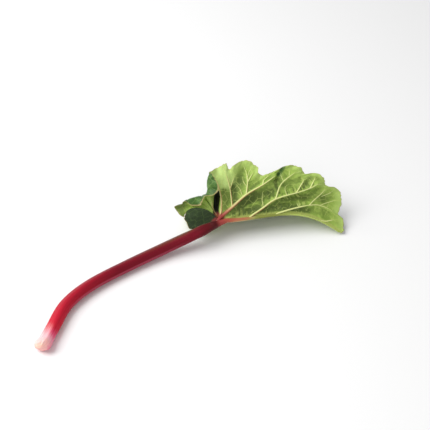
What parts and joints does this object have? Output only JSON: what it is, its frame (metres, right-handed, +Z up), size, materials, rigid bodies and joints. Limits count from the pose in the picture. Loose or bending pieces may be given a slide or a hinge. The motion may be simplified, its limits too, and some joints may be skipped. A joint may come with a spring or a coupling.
{
  "type": "rhubarb stalk with leaf",
  "caption": "Rhubarb stalk lying on its side, with a pale splayed foot and a crinkled, lobed leaf folded along its midrib.",
  "frame": {"origin": "on the surface that the stalk lies on, under the middle of the object's box", "axes": "+X from the foot of the stalk towards the tip of the leaf, +Z up from the surface, +Y completes a right-handed frame, towards the far half of the leaf"},
  "size_m": [0.5734, 0.1906, 0.1047],
  "materials": {
    "petiole": "smooth waxy plant skin, crimson, pink towards the pale foot",
    "leaf_ribs": "pale yellow-green ribs, pink near the stalk",
    "leaf_blade": "satin green leaf, darker on its upper side"
  },
  "bodies": {
    "root": {"petiole": "petiole", "leaf_ribs": "leaf_ribs", "leaf_blade": "leaf_blade"}
  },
  "joints": []
}
